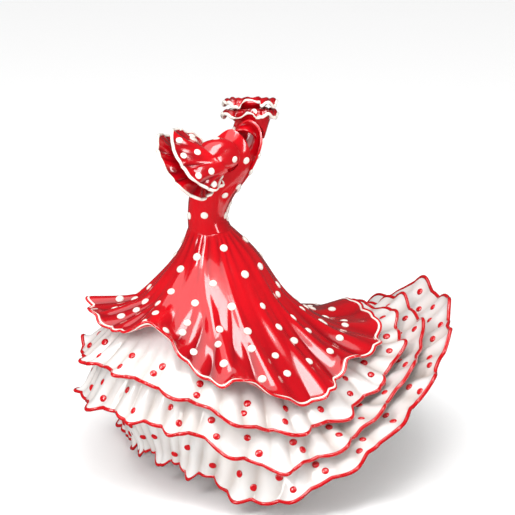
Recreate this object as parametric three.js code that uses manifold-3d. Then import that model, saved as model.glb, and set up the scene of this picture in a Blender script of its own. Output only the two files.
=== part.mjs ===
// A dancer figurine's flamenco dress: a fitted bodice, two ruffled sleeves, a flared skirt and three
// flounces, hollow and open, standing out as it was worn. Millimetres, +Z up. The origin is the middle
// of the waist.
// The wearer faces -X and has the left arm on the -Y side.
import * as THREE from "three";
import Module from "manifold-3d";
import { mergeVertices } from "three/addons/utils/BufferGeometryUtils.js";

const wasm = await Module();
wasm.setup();

// Driving sizes
const WALL = 1.4; // the cloth wall everywhere but the ruffles
const RUFFLE_WALL = 1.1;
const SEAM = 0.3; // gap between two sewn pieces
const PIPING = 1.0; // radius of the rolled edge along each hem
const TRIM = 0.8; // radius of the rolled edge along each ruffle
const TRIM_GAP = 0.65; // from a ruffle's edge to its rolled edge
const SLIVER = 0.15; // points that a cut leaves nearer than this are joined
const COLUMNS = 64; // steps round the skirt and each flounce
const TUCK = 2.6; // how far a flounce is sewn behind the layer above it
const CLEAR = 5.2; // how far a flounce passes below the hem above it
const GORE_SEAMS = [135, 225, 315, 405]; // directions of the skirt's and the flounces' seams, degrees

const RED = { color: 0xc8060f, roughness: 0.16, metalness: 0 };
const WHITE = { color: 0xf2efec, roughness: 0.35, metalness: 0 };
const IVORY = { color: 0xf6f2ea, roughness: 0.25, metalness: 0 };

// Skirt and flounces: how far out and how high each section lies, in fourteen directions round the waist.
// 0 degrees is +X, the wearer's back, and 270 is -Y, the wearer's left.
const DIRECTIONS = [0, 30, 60, 95, 130, 160, 180, 205, 230, 250, 270, 290, 310, 335];
const SECTIONS = {
  hip: {
    reach: [28, 29, 27, 24, 21, 19, 18, 20, 22, 24, 25, 26, 27, 28],
    height: [-15, -18, -19, -18, -17, -16, -15, -15, -17, -18, -19, -19, -18, -16],
  },
  thigh: {
    reach: [46, 52, 48, 42, 39, 38, 38, 39, 40, 42, 44, 46, 46, 45],
    height: [-43, -50, -49, -46, -44, -42, -38, -36, -36, -37, -40, -42, -43, -43],
  },
  knee: {
    reach: [72, 77, 70, 62, 55, 49, 47, 50, 54, 56, 60, 66, 69, 68],
    height: [-63, -69, -67, -64, -58, -51, -45, -43, -44, -48, -56, -61, -64, -63],
  },
  skirtHem: {
    reach: [100, 103, 95, 84, 75, 69, 70, 70, 66, 66, 76, 88, 93, 89],
    height: [-73, -69, -78, -81, -70, -57, -48, -49, -51, -52, -67, -77, -83, -75],
  },
  firstHem: {
    reach: [115, 116, 106, 95, 84, 76, 76, 78, 78, 79, 85, 97, 100, 103],
    height: [-76, -71, -92, -104, -98, -87, -77, -72, -70, -75, -82, -93, -96, -90],
  },
  secondHem: {
    reach: [129, 131, 117, 99, 84, 73, 73, 80, 83, 85, 90, 104, 113, 119],
    height: [-72, -70, -102, -126, -124, -116, -106, -97, -93, -95, -99, -113, -108, -90],
  },
  thirdHem: {
    reach: [145, 148, 130, 100, 76, 54, 43, 45, 50, 58, 72, 104, 122, 134],
    height: [-65, -64, -113, -141, -141, -141, -138, -131, -128, -128, -129, -136, -118, -92],
  },
};

// The largest folds of each layer, one row each: the direction it points at the hem, the direction it springs
// from, its half width in degrees, how far it stands out at the hem, and how far it hangs below the hem line.
const SKIRT_FOLDS = [
  { at: 10, from: 5, wide: 11, out: 3, drop: 1 },
  { at: 34, from: 30, wide: 10, out: 4, drop: 2 },
  { at: 62, from: 60, wide: 12, out: 3, drop: 2 },
  { at: 90, from: 90, wide: 12, out: 4, drop: 2 },
  { at: 118, from: 120, wide: 12, out: 4, drop: 2 },
  { at: 145, from: 150, wide: 11, out: 4, drop: 1 },
  { at: 179, from: 200, wide: 10, out: 4, drop: 1 },
  { at: 203, from: 212, wide: 9, out: 3, drop: 3 },
  { at: 240, from: 218, wide: 16, out: 8, drop: -1 },
  { at: 284, from: 250, wide: 10, out: 5, drop: -2 },
  { at: 299, from: 285, wide: 7, out: 4, drop: 1 },
  { at: 318, from: 308, wide: 9, out: 4, drop: 2 },
  { at: 337, from: 330, wide: 9, out: 5, drop: 1 },
  { at: 355, from: 350, wide: 9, out: 4, drop: 2 },
];
const FIRST_FOLDS = [
  { at: 18, from: 16, wide: 9, out: 2, drop: 3 },
  { at: 38, from: 38, wide: 9, out: 2, drop: 2 },
  { at: 60, from: 60, wide: 11, out: 3, drop: 3 },
  { at: 84, from: 84, wide: 11, out: 3, drop: 3 },
  { at: 108, from: 108, wide: 11, out: 3, drop: 3 },
  { at: 132, from: 132, wide: 11, out: 3, drop: 3 },
  { at: 156, from: 156, wide: 11, out: 3, drop: 2 },
  { at: 180, from: 180, wide: 9, out: 3, drop: -2 },
  { at: 208, from: 206, wide: 9, out: 2, drop: 3 },
  { at: 230, from: 228, wide: 10, out: 2, drop: 3 },
  { at: 256, from: 250, wide: 9, out: 2, drop: 3 },
  { at: 279, from: 272, wide: 10, out: 2, drop: 4 },
  { at: 300, from: 294, wide: 10, out: 2, drop: 4 },
  { at: 320, from: 314, wide: 9, out: 2, drop: 4 },
  { at: 339, from: 334, wide: 8, out: 2, drop: 3 },
  { at: 357, from: 355, wide: 9, out: 2, drop: 3 },
];
const SECOND_FOLDS = [
  { at: 5, from: 5, wide: 9, out: 2, drop: 3 },
  { at: 26, from: 26, wide: 10, out: 2, drop: 3 },
  { at: 50, from: 50, wide: 11, out: 3, drop: 3 },
  { at: 74, from: 74, wide: 11, out: 3, drop: 3 },
  { at: 98, from: 98, wide: 11, out: 3, drop: 3 },
  { at: 122, from: 122, wide: 11, out: 3, drop: 3 },
  { at: 146, from: 146, wide: 11, out: 3, drop: 3 },
  { at: 170, from: 170, wide: 10, out: 3, drop: 2 },
  { at: 193, from: 192, wide: 10, out: 4, drop: 0 },
  { at: 216, from: 214, wide: 9, out: 2, drop: 3 },
  { at: 238, from: 234, wide: 9, out: 2, drop: 3 },
  { at: 257, from: 252, wide: 8, out: 2, drop: 3 },
  { at: 276, from: 270, wide: 9, out: 2, drop: 4 },
  { at: 294, from: 288, wide: 8, out: 2, drop: 4 },
  { at: 311, from: 305, wide: 8, out: 2, drop: 4 },
  { at: 327, from: 322, wide: 8, out: 2, drop: 4 },
  { at: 345, from: 341, wide: 9, out: 2, drop: 4 },
];
const THIRD_FOLDS = [
  { at: 10, from: 10, wide: 8, out: 2, drop: 4 },
  { at: 27, from: 27, wide: 8, out: 2, drop: 4 },
  { at: 44, from: 44, wide: 8, out: 2, drop: 3 },
  { at: 66, from: 66, wide: 10, out: 3, drop: 2 },
  { at: 90, from: 90, wide: 11, out: 3, drop: 0 },
  { at: 116, from: 116, wide: 11, out: 3, drop: 0 },
  { at: 144, from: 144, wide: 12, out: 3, drop: 0 },
  { at: 182, from: 182, wide: 12, out: 3, drop: 1 },
  { at: 214, from: 214, wide: 11, out: 2, drop: 2 },
  { at: 240, from: 238, wide: 9, out: 2, drop: 3 },
  { at: 262, from: 258, wide: 8, out: 2, drop: 3 },
  { at: 281, from: 277, wide: 7, out: 2, drop: 2 },
  { at: 297, from: 293, wide: 7, out: 2, drop: 2 },
  { at: 312, from: 308, wide: 7, out: 2, drop: 4 },
  { at: 327, from: 323, wide: 8, out: 2, drop: 4 },
  { at: 341, from: 338, wide: 7, out: 2, drop: 4 },
  { at: 355, from: 353, wide: 7, out: 2, drop: 4 },
];

// Bodice: level sections from the waist to the shoulders. The middle of each, how far it reaches to the
// wearer's back and front (depth) and to the sides (width), and how far it is turned, in degrees.
const TORSO = [
  { z: 0, x: 0.5, y: 0, depth: 12.3, width: 14, turn: 0 },
  { z: 8, x: -1.0, y: 0, depth: 11.0, width: 13, turn: -5 },
  { z: 20, x: 1.5, y: 0, depth: 12.5, width: 14, turn: -12 },
  { z: 34, x: 8.0, y: 0, depth: 15.6, width: 16.5, turn: -20 },
  { z: 48, x: 14.0, y: 1, depth: 16.0, width: 18, turn: -25 },
  { z: 57, x: 17.5, y: 2, depth: 13.0, width: 16.5, turn: -25 },
  { z: 64, x: 19.0, y: 2, depth: 8.5, width: 11.5, turn: -25 },
];
// Height of the bodice's top edge round the body. 0 degrees is the middle of the back, 180 the front.
const TOP_EDGE = [
  { at: 0, z: 12 },
  { at: 6, z: 27 },
  { at: 12, z: 38 },
  { at: 24, z: 49 },
  { at: 40, z: 57 },
  { at: 64, z: 62 },
  { at: 90, z: 63.4 },
  { at: 112, z: 61.5 },
  { at: 135, z: 55 },
  { at: 158, z: 49.5 },
  { at: 180, z: 48 },
];
const BODICE_STEPS = [0, 3, 6, 12, 24, 40, 52, 64, 77, 90, 101, 112, 124, 135, 147, 158, 169, 180];

// Sleeves: rings from the armhole to the cuff, and two more for each ruffle. The middle of each, the way the
// ring faces, its radius, and its smaller radius on the far side, where the ruffle lies against the body.
const SLEEVES = {
  left: {
    top: [0, 0, 1],
    tube: [
      { x: 13.5, y: -6, z: 49, facing: [-0.45, -0.87, -0.2], radius: 9.2 },
      { x: 8.5, y: -14, z: 50, facing: [-0.62, -0.74, -0.25], radius: 9.4 },
      { x: 1.5, y: -19, z: 48.5, facing: [-0.87, -0.3, -0.42], radius: 9.2 },
      { x: -5.5, y: -20.5, z: 44.5, facing: [-0.84, -0.05, -0.54], radius: 8.2 },
    ],
    upper: [
      { x: -2.5, y: -20.8, z: 49, facing: [-0.78, 0.1, -0.62], radius: 15, far: 13.5 },
      { x: -6.5, y: -20.5, z: 48.5, facing: [-0.72, 0.27, -0.64], radius: 20, far: 15.5 },
    ],
    lower: [
      { x: -11.2, y: -20.2, z: 44, facing: [-0.76, 0.15, -0.63], radius: 15.5, far: 11.5 },
      { x: -14.2, y: -19.5, z: 43.7, facing: [-0.72, 0.27, -0.64], radius: 21.5, far: 14 },
    ],
  },
  right: {
    top: [-1, 0, 0],
    tube: [
      { x: 18, y: 9, z: 47, facing: [0.2, 0.93, 0.3], radius: 8.4 },
      { x: 22, y: 18, z: 51, facing: [0.2, 0.86, 0.48], radius: 8.4 },
      { x: 24.5, y: 25.5, z: 58, facing: [0.1, 0.5, 0.87], radius: 8.2 },
      { x: 24.5, y: 28, z: 66, facing: [-0.05, 0.2, 0.98], radius: 8.0 },
    ],
    upper: [
      { x: 24.5, y: 27.6, z: 65.5, facing: [0, 0.22, 0.97], radius: 13.6 },
      { x: 24.5, y: 27.4, z: 64, facing: [0, 0.22, 0.97], radius: 16.5 },
    ],
    lower: [
      { x: 24.5, y: 29, z: 72, facing: [0, 0.2, 0.98], radius: 13 },
      { x: 24.5, y: 28.6, z: 71, facing: [0, 0.2, 0.98], radius: 15.6 },
    ],
  },
};
const UPPER_RUFFLE_AT = 0.6; // how far down the sleeve the upper ruffle is sewn on
const UPPER_RUFFLE_TILT = 0.14; // how much farther down that is on the top of the sleeve
const OVER_SLEEVE = (WALL + RUFFLE_WALL) / 2 + 1.5 * SEAM; // from the sleeve's middle to the upper ruffle's
const PAST_CUFF = RUFFLE_WALL / 2 + 2 * SEAM; // from the cuff to the lower ruffle's first edge
const SLEEVE_STEPS = 16;
const RUFFLE_STEPS = 28;
const RUFFLE_FOLDS = [
  { at: 15, from: 15, wide: 24, out: 2.0, drop: 1.2 },
  { at: 65, from: 65, wide: 22, out: 1.6, drop: 0.6 },
  { at: 110, from: 110, wide: 20, out: 2.2, drop: 1.4 },
  { at: 158, from: 158, wide: 24, out: 1.5, drop: 0.8 },
  { at: 205, from: 205, wide: 21, out: 2.1, drop: 1.2 },
  { at: 250, from: 250, wide: 20, out: 1.7, drop: 0.5 },
  { at: 300, from: 300, wide: 26, out: 2.2, drop: 1.3 },
];

const rad = THREE.MathUtils.degToRad;
const vec = (x, y, z) => new THREE.Vector3(x, y, z);

// A smooth curve's value between two knots, from the slopes through their neighbours.
function between(k0, k1, k2, k3, a, b, c, d, t) {
  const h = k2 - k1;
  const s = (t - k1) / h;
  const slope1 = (c - a) / (k2 - k0) * h;
  const slope2 = (d - b) / (k3 - k1) * h;
  const s2 = s * s;
  const s3 = s2 * s;
  return (2 * s3 - 3 * s2 + 1) * b + (s3 - 2 * s2 + s) * slope1 + (3 * s2 - 2 * s3) * c + (s3 - s2) * slope2;
}

// The value in one direction of a row that goes all round.
function allRound(row, degrees) {
  const n = DIRECTIONS.length;
  const angle = THREE.MathUtils.euclideanModulo(degrees, 360);
  const i = DIRECTIONS.findLastIndex((knot) => knot <= angle);
  const knot = (k) => DIRECTIONS[(k + n) % n] + 360 * Math.floor(k / n);
  const value = (k) => row[(k + n) % n];
  return between(knot(i - 1), knot(i), knot(i + 1), knot(i + 2),
    value(i - 1), value(i), value(i + 1), value(i + 2), angle);
}

// The value at t of a curve through a list of values, whose ends go on as they came.
function along(knots, values, t) {
  const last = knots.length - 1;
  const i = Math.min(last - 1, Math.max(0, knots.findLastIndex((knot) => knot <= t)));
  const at = (list, j) => {
    if (j < 0) return 2 * list[0] - list[1];
    return j > last ? 2 * list[last] - list[last - 1] : list[j];
  };
  return between(at(knots, i - 1), at(knots, i), at(knots, i + 1), at(knots, i + 2),
    at(values, i - 1), at(values, i), at(values, i + 1), at(values, i + 2), t);
}

function throughPoints(knots, points, t) {
  return vec(...["x", "y", "z"].map((axis) => along(knots, points.map((p) => p[axis]), t)));
}

// A point of a named section of the skirt or a flounce.
function sectionPoint(name, degrees) {
  const reach = allRound(SECTIONS[name].reach, degrees);
  const height = allRound(SECTIONS[name].height, degrees);
  return vec(reach * Math.cos(rad(degrees)), reach * Math.sin(rad(degrees)), height);
}

// Which way a surface faces at a point, and which way runs down it to its hem.
function facing(surface, u, v) {
  const across = surface(u + 0.5, v).sub(surface(u - 0.5, v));
  const down = surface(u, Math.min(1, v + 0.02)).sub(surface(u, Math.max(0, v - 0.02))).normalize();
  return { out: down.clone().cross(across).normalize(), down };
}

// How far the folds push a point out and down.
function foldShift(folds, start, u, v) {
  const grown = Math.max(0, (v - start) / (1 - start)) ** 1.6;
  let out = 0;
  let drop = 0;
  for (const fold of folds) {
    const middle = fold.from + (fold.at - fold.from) * v ** 0.6;
    const off = THREE.MathUtils.euclideanModulo(u - middle + 180, 360) - 180;
    const side = Math.abs(off) / (fold.wide * (0.6 + 0.4 * v));
    if (side >= 1) continue;
    const crest = (0.5 + 0.5 * Math.cos(Math.PI * side)) * grown;
    out += fold.out * crest;
    drop += fold.drop * crest;
  }
  return { out, drop };
}

// A surface with its folds standing out of it.
function folded(surface, folds, start) {
  return (u, v) => {
    const { out, down } = facing(surface, u, v);
    const shift = foldShift(folds, start, u, v);
    return surface(u, v).addScaledVector(out, shift.out).addScaledVector(down, shift.drop);
  };
}

// Bodice surface: u is the direction in degrees and v goes from the top edge down to the waist.
function torsoPoint(u, z) {
  const knots = TORSO.map((row) => row.z);
  const size = (key) => along(knots, TORSO.map((row) => row[key]), z);
  const point = vec(size("depth") * Math.cos(rad(u)), size("width") * Math.sin(rad(u)), 0);
  return point.applyAxisAngle(vec(0, 0, 1), rad(size("turn"))).add(vec(size("x"), size("y"), z));
}
function topEdge(u) {
  const side = Math.abs(THREE.MathUtils.euclideanModulo(u + 180, 360) - 180);
  return along(TOP_EDGE.map((row) => row.at), TOP_EDGE.map((row) => row.z), side);
}
const bodice = (u, v) => torsoPoint(u, SEAM + (topEdge(u) - SEAM) * (1 - v));

// A surface through the points that a function gives for each direction, which are worked out only once.
function surfaceThrough(knots, pointsAt) {
  const known = new Map();
  return (u, v) => {
    const key = Math.round(u * 1e4);
    if (!known.has(key)) known.set(key, pointsAt(u));
    return throughPoints(knots, known.get(key), v);
  };
}

// Skirt surface: u is the direction in degrees and v goes from the waist to the hem.
const SKIRT_KNOTS = [0, 0.22, 0.48, 0.76, 1];
const skirt = surfaceThrough(SKIRT_KNOTS, (u) => {
  const waist = torsoPoint(u, 0).setZ(-2 * SEAM);
  const lower = ["hip", "thigh", "knee", "skirtHem"].map((name) => sectionPoint(name, u));
  return [waist, ...lower];
});

// A flounce: sewn behind the layer above, passing clear below its hem, and out to its own.
const FLOUNCE_KNOTS = [0, 0.3, 0.62, 1];
const TUCK_AT = 0.45; // how far down from the sewn edge to the hem above a flounce is fully tucked under
function flounce(above, sewnAt, hemName) {
  return surfaceThrough(FLOUNCE_KNOTS, (u) => {
    const hem = sectionPoint(hemName, u);
    const inside = (at, depth) => above(u, at).addScaledVector(facing(above, u, at).out, -depth);
    const top = inside(sewnAt, TUCK);
    const tuck = inside(sewnAt + TUCK_AT * (1 - sewnAt), CLEAR - 2 * SEAM);
    const edge = facing(above, u, 1).out;
    const middle = tuck.clone().lerp(hem, 0.5);
    const gap = middle.clone().sub(above(u, 1)).dot(edge);
    if (gap > -CLEAR) middle.addScaledVector(edge, -CLEAR - gap);
    return [top, tuck, middle, hem];
  });
}
const firstFlounce = flounce(skirt, 0.72, "firstHem");
const secondFlounce = flounce(firstFlounce, 0.5, "secondHem");
const thirdFlounce = flounce(secondFlounce, 0.5, "thirdHem");

// A ring's point, u degrees round it from the side given as its top, and the loft through several rings.
function ringPoint(ring, top, u) {
  const axis = vec(...ring.facing).normalize();
  const first = vec(...top);
  first.addScaledVector(axis, -axis.dot(first)).normalize();
  const second = first.clone().cross(axis);
  return vec(ring.x, ring.y, ring.z)
    .addScaledVector(first, ring.radius * Math.cos(rad(u)))
    .addScaledVector(second, (Math.sin(rad(u)) < 0 && ring.far ? ring.far : ring.radius) * Math.sin(rad(u)));
}
const tubeThrough = (rings, top) => surfaceThrough(
  rings.map((_, i) => i / (rings.length - 1)), (u) => rings.map((ring) => ringPoint(ring, top, u)));

// A mesh from points and triangles, and the same mesh with every face turned outward.
function geometryOf(points, indices) {
  const geometry = new THREE.BufferGeometry();
  geometry.setAttribute("position", new THREE.Float32BufferAttribute(points.flatMap((p) => p.toArray()), 3));
  geometry.setIndex(indices);
  return geometry;
}
function outward(geometry) {
  const position = geometry.attributes.position;
  const index = geometry.index.array;
  const corner = (k) => vec().fromBufferAttribute(position, index[k]);
  let volume = 0;
  for (let k = 0; k < index.length; k += 3) volume += corner(k).dot(corner(k + 1).cross(corner(k + 2)));
  if (volume < 0) {
    for (let k = 0; k < index.length; k += 3) [index[k], index[k + 1]] = [index[k + 1], index[k]];
  }
  return geometry;
}

// A wall of cloth over the columns and rows of a surface. A whole ring joins its last column to its first,
// and a panel's two sides stand half a seam in.
function wall(surface, columns, rows, thickness, ring = false) {
  const points = [];
  for (const u of columns) {
    const inset = ring ? 0 : u === columns[0] ? SEAM / 2 : u === columns.at(-1) ? -SEAM / 2 : 0;
    for (const v of rows) {
      const { out, down } = facing(surface, u, v);
      const point = surface(u, v).addScaledVector(out.clone().cross(down), inset);
      points.push(point.clone().addScaledVector(out, thickness / 2));
      points.push(point.addScaledVector(out, -thickness / 2));
    }
  }
  const nu = columns.length;
  const nv = rows.length;
  const at = (i, j, inner) => ((i % nu) * nv + j) * 2 + inner;
  const indices = [];
  const quad = (a, b, c, d) => indices.push(a, b, c, a, c, d);
  for (let i = 0; i < (ring ? nu : nu - 1); i++) {
    for (let j = 0; j < nv - 1; j++) {
      quad(at(i, j, 0), at(i, j + 1, 0), at(i + 1, j + 1, 0), at(i + 1, j, 0));
      quad(at(i, j, 1), at(i + 1, j, 1), at(i + 1, j + 1, 1), at(i, j + 1, 1));
    }
    quad(at(i, 0, 1), at(i, 0, 0), at(i + 1, 0, 0), at(i + 1, 0, 1));
    quad(at(i, nv - 1, 0), at(i, nv - 1, 1), at(i + 1, nv - 1, 1), at(i + 1, nv - 1, 0));
  }
  for (let j = 0; j < nv - 1 && !ring; j++) {
    quad(at(0, j, 0), at(0, j, 1), at(0, j + 1, 1), at(0, j + 1, 0));
    quad(at(nu - 1, j, 1), at(nu - 1, j, 0), at(nu - 1, j + 1, 0), at(nu - 1, j + 1, 1));
  }
  return outward(geometryOf(points, indices));
}

// A rolled edge with a three-sided section, just below a hem.
function rolledEdge(surface, columns, radius, gap = SEAM) {
  const points = [];
  for (const u of columns) {
    const { out, down } = facing(surface, u, 1);
    const middle = surface(u, 1).addScaledVector(down, gap + radius);
    for (const corner of [0, 120, 240]) {
      points.push(middle.clone()
        .addScaledVector(out, radius * Math.sin(rad(corner)))
        .addScaledVector(down, radius * Math.cos(rad(corner))));
    }
  }
  const indices = [];
  const n = columns.length;
  for (let i = 0; i < n; i++) {
    for (let s = 0; s < 3; s++) {
      const a = i * 3 + s;
      const b = i * 3 + (s + 1) % 3;
      const c = ((i + 1) % n) * 3 + (s + 1) % 3;
      const d = ((i + 1) % n) * 3 + s;
      indices.push(a, b, c, a, c, d);
    }
  }
  return outward(geometryOf(points, indices));
}

// A solid plug that fills a surface of rings, for cutting.
function plug(surface, columns, rows) {
  const points = rows.flatMap((v) => columns.map((u) => surface(u, v)));
  const sum = (v) => columns.reduce((total, u) => total.add(surface(u, v)), vec());
  points.push(...[rows[0], rows.at(-1)].map((v) => sum(v).divideScalar(columns.length)));
  const n = columns.length;
  const indices = [];
  for (let i = 0; i < n; i++) {
    const next = (i + 1) % n;
    for (let j = 0; j < rows.length - 1; j++) {
      indices.push(j * n + i, j * n + next, (j + 1) * n + next);
      indices.push(j * n + i, (j + 1) * n + next, (j + 1) * n + i);
    }
    const end = (rows.length - 1) * n;
    indices.push(points.length - 2, next, i, points.length - 1, end + i, end + next);
  }
  return outward(geometryOf(points, indices));
}
function solid(geometry) {
  const bare = mergeVertices(geometry, 1e-4);
  return new wasm.Manifold(new wasm.Mesh({
    numProp: 3,
    vertProperties: new Float32Array(bare.attributes.position.array),
    triVerts: new Uint32Array(bare.index.array),
  }));
}
function geometryFrom(manifold) {
  const mesh = manifold.getMesh();
  const geometry = new THREE.BufferGeometry();
  geometry.setAttribute("position", new THREE.BufferAttribute(new Float32Array(mesh.vertProperties), 3));
  geometry.setIndex(new THREE.BufferAttribute(new Uint32Array(mesh.triVerts), 1));
  return geometry;
}

// What is left of a piece, in one body, clear of the solids that it presses against.
function clearOf(geometry, cutters) {
  const cut = cutters.reduce((rest, cutter) => rest.subtract(cutter), solid(geometry));
  const bodies = cut.asOriginal().simplify(SLIVER).decompose();
  return geometryFrom(bodies.reduce((best, each) => (each.volume() > best.volume() ? each : best)));
}

const steps = (count, from = 0, to = 1) => (
  Array.from({ length: count + 1 }, (_, i) => from + (to - from) * i / count));
const circle = (count) => steps(count, 0, 360).slice(0, -1);

const dress = new THREE.Group();
function add(name, geometry, finish) {
  const mesh = new THREE.Mesh(geometry, new THREE.MeshStandardMaterial({ ...finish }));
  mesh.name = name;
  dress.add(mesh);
}

// Skirt gores and flounces, each in four panels, with their rolled edges.
function layer(name, surface, folds, start, rows, finish) {
  const shape = folded(surface, folds, start);
  const names = ["front", "left", "back", "right"];
  GORE_SEAMS.forEach((from, k) => {
    add(`${name}_${names[k]}`, wall(shape, steps(COLUMNS / 4, from, from + 90), rows, WALL), finish);
  });
  return shape;
}
const skirtShape = layer("skirt", skirt, SKIRT_FOLDS, 0.1, [0, 0.22, 0.48, 0.76, 0.9, 1], RED);
add("skirt_hem_binding", rolledEdge(skirtShape, circle(COLUMNS), TRIM), IVORY);
const FLOUNCES = [
  { name: "flounce_1", surface: firstFlounce, folds: FIRST_FOLDS },
  { name: "flounce_2", surface: secondFlounce, folds: SECOND_FOLDS },
  { name: "flounce_3", surface: thirdFlounce, folds: THIRD_FOLDS },
];
for (const { name, surface, folds } of FLOUNCES) {
  const shape = layer(name, surface, folds, 0.35, [0, 0.3, 0.62, 1], WHITE);
  add(`${name}_piping`, rolledEdge(shape, circle(COLUMNS), PIPING), RED);
}

// Bodice panels, with the armholes cut by the inside of each sleeve.
const bores = Object.values(SLEEVES).map(({ tube, top }) => {
  const inside = tube.map((ring) => ({ ...ring, radius: ring.radius - WALL / 2 }));
  return solid(plug(tubeThrough(inside, top), circle(SLEEVE_STEPS), steps(3)));
});
const BODICE_PANELS = {
  bodice_front: steps(17, 90, 270),
  bodice_back_left: BODICE_STEPS.filter((u) => u <= 90).map((u) => 360 - u).reverse(),
  bodice_back_right: BODICE_STEPS.filter((u) => u <= 90),
};
for (const [name, columns] of Object.entries(BODICE_PANELS)) {
  const panel = wall(bodice, columns, steps(5), WALL);
  add(name, clearOf(panel, bores), RED);
}

// Pushes a point out of the body where a ruffle would press into it.
function clearOfBody(point, margin) {
  const knots = TORSO.map((row) => row.z);
  const size = (key) => along(knots, TORSO.map((row) => row[key]), point.z);
  const middle = vec(size("x"), size("y"), point.z);
  const turn = rad(size("turn"));
  const off = point.clone().sub(middle).applyAxisAngle(vec(0, 0, 1), -turn);
  const share = Math.hypot(off.x / (size("depth") + margin), off.y / (size("width") + margin));
  if (share >= 1) return point;
  return off.divideScalar(share).applyAxisAngle(vec(0, 0, 1), turn).add(middle);
}

// Sleeves, which start just outside the bodice, with two ruffles each.
const BODY_FROM = -3;
const BODY_TO = 71;
const bodyOuter = (u, v) => {
  const z = THREE.MathUtils.lerp(BODY_FROM, BODY_TO, v);
  return torsoPoint(u, z).addScaledVector(vec(Math.cos(rad(u)), Math.sin(rad(u)), 0), WALL / 2 + 2 * SEAM);
};
const body = solid(plug(bodyOuter, circle(40), steps(10)));
for (const [side, { top, tube, upper, lower }] of Object.entries(SLEEVES)) {
  const sleeve = tubeThrough(tube, top);
  const cloth = wall(sleeve, circle(SLEEVE_STEPS), steps(4), WALL, true);
  add(`sleeve_${side}`, clearOf(cloth, [body]), RED);
  const outside = tube.map((ring) => ({ ...ring, radius: ring.radius + WALL / 2 + SEAM }));
  const arm = solid(plug(tubeThrough(outside, top), circle(SLEEVE_STEPS), steps(4)));
  const ruffles = {
    upper: { at: UPPER_RUFFLE_AT, tilt: UPPER_RUFFLE_TILT, rings: upper, over: OVER_SLEEVE, beyond: 0 },
    lower: { at: 1, tilt: 0, rings: lower, over: 0, beyond: PAST_CUFF },
  };
  for (const [place, { at, tilt, rings, over, beyond }] of Object.entries(ruffles)) {
    const base = surfaceThrough([0, 0.5, 1], (u) => {
      const sewnAt = at + tilt * Math.cos(rad(u));
      const { out, down } = facing(sleeve, u, sewnAt);
      const seam = sleeve(u, sewnAt).addScaledVector(out, over).addScaledVector(down, beyond);
      return [seam, ...rings.map((ring) => ringPoint(ring, top, u))];
    });
    const hanging = folded(base, RUFFLE_FOLDS, 0.15);
    const shape = (u, v) => clearOfBody(hanging(u, v), WALL + RUFFLE_WALL + TRIM);
    const ring = (thickness) => wall(shape, circle(RUFFLE_STEPS), [0, 0.5, 1], thickness, true);
    const trim = rolledEdge(shape, circle(RUFFLE_STEPS), TRIM, TRIM_GAP);
    add(`sleeve_${side}_${place}_ruffle`, clearOf(ring(RUFFLE_WALL), [arm, body]), RED);
    const ruffleRoom = solid(ring(RUFFLE_WALL + 2 * SEAM));
    add(`sleeve_${side}_${place}_trim`, clearOf(trim, [arm, body, ruffleRoom]), IVORY);
  }
}

export default dress;
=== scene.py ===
# %% [markdown]
# # A dancer figurine's flamenco dress
# The dress is a hard, glossy copy of cloth: a red bodice and skirt, three white flounces with rolled red hems,
# and two ruffled sleeves, all sprinkled with raised dots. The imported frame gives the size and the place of
# every piece. Here each piece gets its fine pleats, its rounded edges and its glaze.

import math
import random
from bisect import bisect_right

import bmesh
import bpy
from mathutils import Matrix, Vector


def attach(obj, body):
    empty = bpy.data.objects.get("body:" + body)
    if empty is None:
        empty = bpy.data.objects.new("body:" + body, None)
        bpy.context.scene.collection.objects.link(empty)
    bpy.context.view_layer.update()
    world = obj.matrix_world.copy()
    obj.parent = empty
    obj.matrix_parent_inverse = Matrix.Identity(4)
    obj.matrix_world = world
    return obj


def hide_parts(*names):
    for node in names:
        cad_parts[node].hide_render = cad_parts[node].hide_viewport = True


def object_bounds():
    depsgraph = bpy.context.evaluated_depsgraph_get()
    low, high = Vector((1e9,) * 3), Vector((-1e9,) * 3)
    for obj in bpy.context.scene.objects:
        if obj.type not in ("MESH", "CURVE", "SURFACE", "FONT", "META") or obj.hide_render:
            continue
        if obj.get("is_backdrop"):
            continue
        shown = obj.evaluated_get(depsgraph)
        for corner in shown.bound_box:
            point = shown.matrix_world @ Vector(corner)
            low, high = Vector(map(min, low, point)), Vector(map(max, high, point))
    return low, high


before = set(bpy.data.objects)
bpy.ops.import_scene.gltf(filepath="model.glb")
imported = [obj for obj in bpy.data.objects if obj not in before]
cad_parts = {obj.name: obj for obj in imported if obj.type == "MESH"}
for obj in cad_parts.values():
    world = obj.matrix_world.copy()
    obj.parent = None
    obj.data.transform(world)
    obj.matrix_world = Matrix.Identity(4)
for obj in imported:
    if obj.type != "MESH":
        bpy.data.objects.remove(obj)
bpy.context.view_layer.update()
MM = 0.001
print("nodes", len(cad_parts))

# %% [markdown]
# ## The cut of the dress
# A sculptor models the skirt as sections round the waist. Each section is a row of reaches and heights in
# fourteen directions, and a smooth curve runs through them. 0 degrees is the wearer's back, and 270 is the
# wearer's left. All sizes are in millimetres, and are turned into metres when a mesh is made.

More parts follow.
